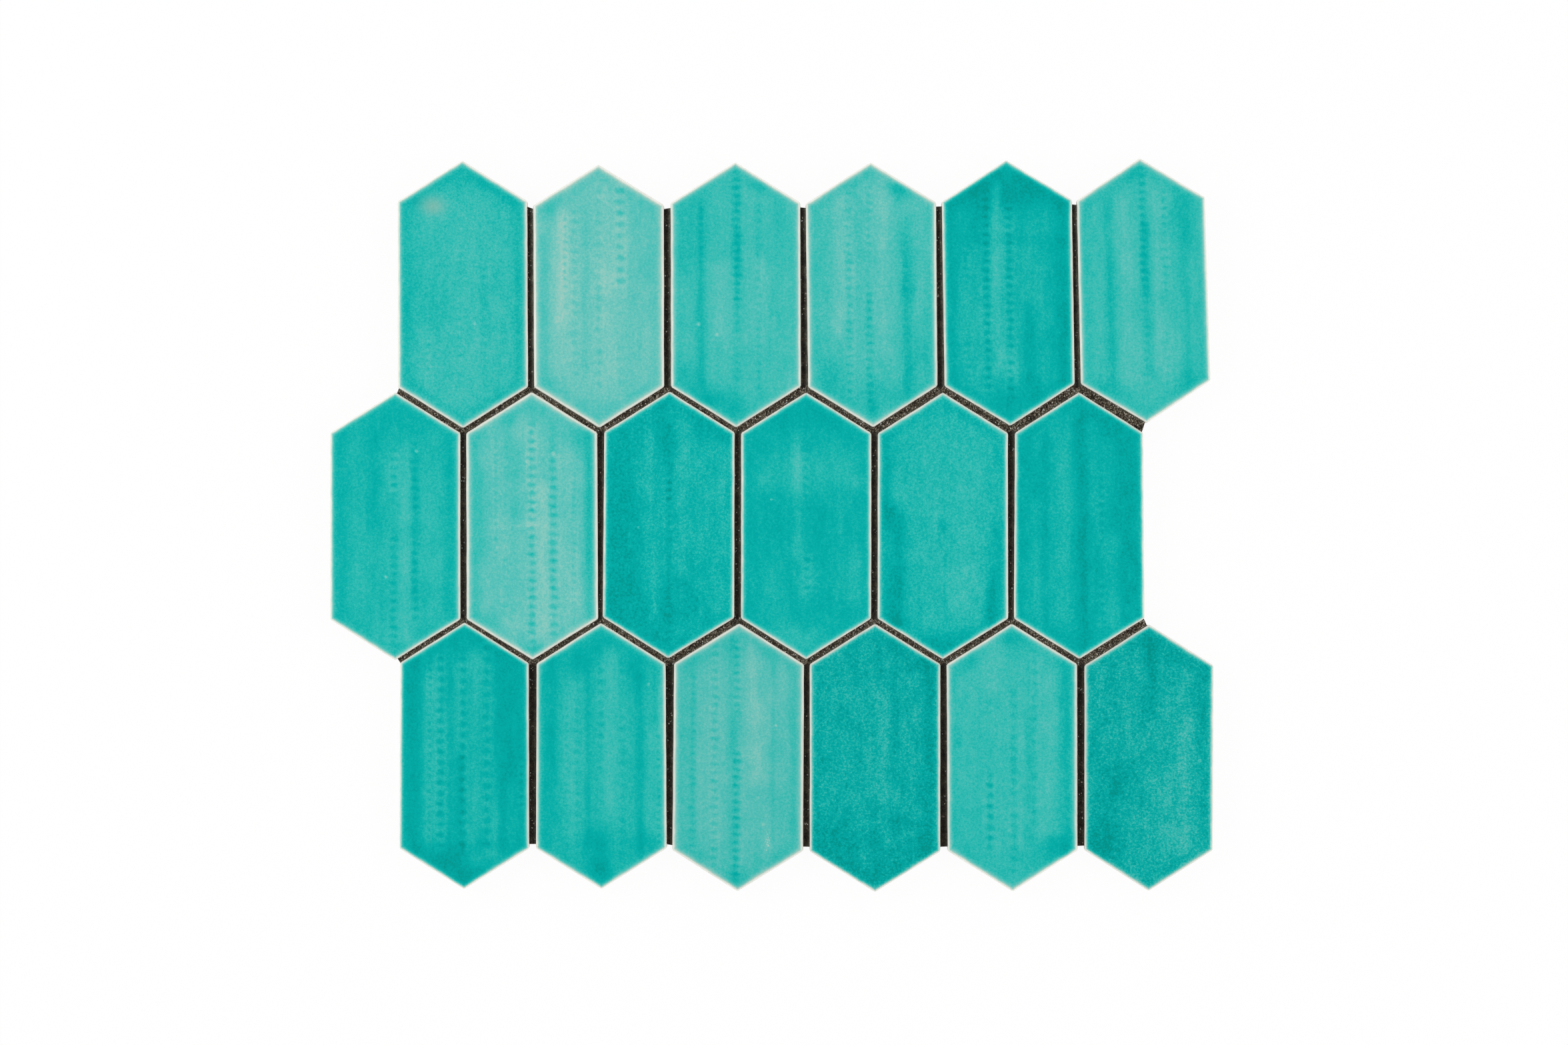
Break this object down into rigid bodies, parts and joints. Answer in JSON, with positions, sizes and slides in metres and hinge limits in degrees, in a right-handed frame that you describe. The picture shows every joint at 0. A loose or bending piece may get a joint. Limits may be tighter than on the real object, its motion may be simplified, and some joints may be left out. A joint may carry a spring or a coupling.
{
  "type": "mosaic tile sheet",
  "caption": "Sheet of long pointed six-sided glazed tiles in interlocking rows, grouted, on a backing net, for walls and splashbacks.",
  "frame": {"origin": "middle of the sheet's bounding box at its back, where it meets the surface it lies on", "axes": "+X to the right along the rows of tiles, +Y up the sheet along the tiles' length, +Z out of the glazed face"},
  "size_m": [0.3314, 0.275, 0.0094],
  "materials": {
    "glazed_tile": "gloss",
    "grout": "matte",
    "net": "matte"
  },
  "bodies": {
    "root": {"tile_top_1": "glazed_tile", "tile_top_2": "glazed_tile", "tile_top_3": "glazed_tile", "tile_top_4": "glazed_tile", "tile_top_5": "glazed_tile", "tile_top_6": "glazed_tile", "tile_middle_1": "glazed_tile", "tile_middle_2": "glazed_tile", "tile_middle_3": "glazed_tile", "tile_middle_4": "glazed_tile", "tile_middle_5": "glazed_tile", "tile_middle_6": "glazed_tile", "tile_bottom_1": "glazed_tile", "tile_bottom_2": "glazed_tile", "tile_bottom_3": "glazed_tile", "tile_bottom_4": "glazed_tile", "tile_bottom_5": "glazed_tile", "tile_bottom_6": "glazed_tile", "grout": "grout", "backing_net": "net"}
  },
  "joints": []
}
